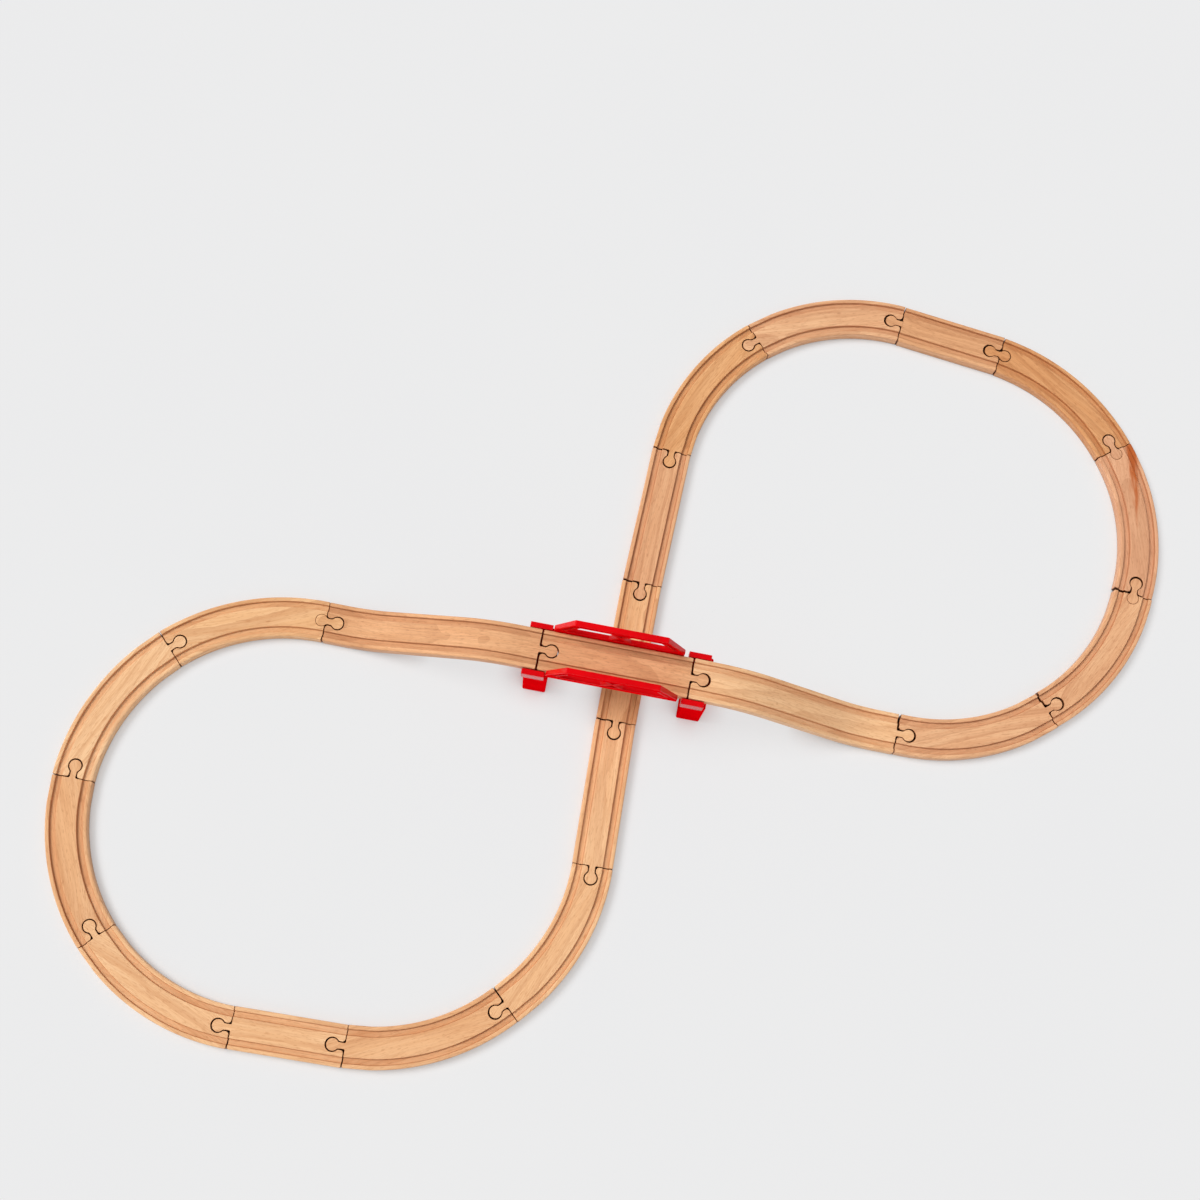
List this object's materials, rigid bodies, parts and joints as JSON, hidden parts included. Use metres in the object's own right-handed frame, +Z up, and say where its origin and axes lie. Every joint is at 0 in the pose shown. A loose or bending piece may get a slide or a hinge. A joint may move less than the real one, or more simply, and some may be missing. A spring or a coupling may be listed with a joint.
{
  "type": "wooden toy train track",
  "caption": "Wooden toy train track in a loop that crosses over itself: grooved beech pieces joined by knobs and sockets, ramps up to a bridge deck with red plastic girders and supports.",
  "frame": {"origin": "on the floor, straight below the middle of the bridge deck, on the underside of the straight that passes under it", "axes": "+X along the bridge deck to its east end, +Y across the deck, +Z up from the floor"},
  "size_m": [1.0488, 0.8751, 0.111],
  "materials": {
    "beech": "smooth beech, thinly sealed",
    "red_plastic": "gloss moulded"
  },
  "bodies": {
    "bridge_supports": {"support_east": "red_plastic", "support_west": "red_plastic"},
    "bridge_deck_body": {"bridge_deck": "beech", "girder_north": "red_plastic", "girder_south": "red_plastic"},
    "ramp_east_body": {"ramp_east": "beech"},
    "curve_1_body": {"curve_1": "beech"},
    "curve_2_body": {"curve_2": "beech", "connector_plug_2": "beech"},
    "curve_3_body": {"curve_3": "beech", "connector_plug_3": "beech"},
    "curve_4_body": {"curve_4": "beech", "connector_plug_4": "beech"},
    "short_straight_1_body": {"short_straight_1": "beech"},
    "curve_5_body": {"curve_5": "beech"},
    "curve_6_body": {"curve_6": "beech"},
    "straight_1_body": {"straight_1": "beech"},
    "straight_2_body": {"straight_2": "beech"},
    "straight_3_body": {"straight_3": "beech"},
    "curve_7_body": {"curve_7": "beech"},
    "curve_8_body": {"curve_8": "beech"},
    "short_straight_2_body": {"short_straight_2": "beech"},
    "curve_9_body": {"curve_9": "beech"},
    "curve_10_body": {"curve_10": "beech"},
    "curve_11_body": {"curve_11": "beech"},
    "curve_12_body": {"curve_12": "beech", "connector_plug_1": "beech"},
    "ramp_west_body": {"ramp_west": "beech"}
  },
  "joints": [
    {"name": "lift_bridge_deck", "type": "slide", "parent": "bridge_supports", "child": "bridge_deck_body", "axis": [0, 0, 1], "range_m": [0, 0.04]},
    {"name": "lift_ramp_east", "type": "slide", "parent": "bridge_supports", "child": "ramp_east_body", "axis": [0, 0, 1], "range_m": [0, 0.04]},
    {"name": "lift_curve_1", "type": "slide", "parent": "bridge_supports", "child": "curve_1_body", "axis": [0, 0, 1], "range_m": [0, 0.04]},
    {"name": "lift_curve_2", "type": "slide", "parent": "bridge_supports", "child": "curve_2_body", "axis": [0, 0, 1], "range_m": [0, 0.04]},
    {"name": "lift_curve_3", "type": "slide", "parent": "bridge_supports", "child": "curve_3_body", "axis": [0, 0, 1], "range_m": [0, 0.04]},
    {"name": "lift_curve_4", "type": "slide", "parent": "bridge_supports", "child": "curve_4_body", "axis": [0, 0, 1], "range_m": [0, 0.04]},
    {"name": "lift_short_straight_1", "type": "slide", "parent": "bridge_supports", "child": "short_straight_1_body", "axis": [0, 0, 1], "range_m": [0, 0.04]},
    {"name": "lift_curve_5", "type": "slide", "parent": "bridge_supports", "child": "curve_5_body", "axis": [0, 0, 1], "range_m": [0, 0.04]},
    {"name": "lift_curve_6", "type": "slide", "parent": "bridge_supports", "child": "curve_6_body", "axis": [0, 0, 1], "range_m": [0, 0.04]},
    {"name": "lift_straight_1", "type": "slide", "parent": "bridge_supports", "child": "straight_1_body", "axis": [0, 0, 1], "range_m": [0, 0.04]},
    {"name": "lift_straight_2", "type": "slide", "parent": "bridge_supports", "child": "straight_2_body", "axis": [0, 0, 1], "range_m": [0, 0.04]},
    {"name": "lift_straight_3", "type": "slide", "parent": "bridge_supports", "child": "straight_3_body", "axis": [0, 0, 1], "range_m": [0, 0.04]},
    {"name": "lift_curve_7", "type": "slide", "parent": "bridge_supports", "child": "curve_7_body", "axis": [0, 0, 1], "range_m": [0, 0.04]},
    {"name": "lift_curve_8", "type": "slide", "parent": "bridge_supports", "child": "curve_8_body", "axis": [0, 0, 1], "range_m": [0, 0.04]},
    {"name": "lift_short_straight_2", "type": "slide", "parent": "bridge_supports", "child": "short_straight_2_body", "axis": [0, 0, 1], "range_m": [0, 0.04]},
    {"name": "lift_curve_9", "type": "slide", "parent": "bridge_supports", "child": "curve_9_body", "axis": [0, 0, 1], "range_m": [0, 0.04]},
    {"name": "lift_curve_10", "type": "slide", "parent": "bridge_supports", "child": "curve_10_body", "axis": [0, 0, 1], "range_m": [0, 0.04]},
    {"name": "lift_curve_11", "type": "slide", "parent": "bridge_supports", "child": "curve_11_body", "axis": [0, 0, 1], "range_m": [0, 0.04]},
    {"name": "lift_curve_12", "type": "slide", "parent": "bridge_supports", "child": "curve_12_body", "axis": [0, 0, 1], "range_m": [0, 0.04]},
    {"name": "lift_ramp_west", "type": "slide", "parent": "bridge_supports", "child": "ramp_west_body", "axis": [0, 0, 1], "range_m": [0, 0.04]}
  ]
}
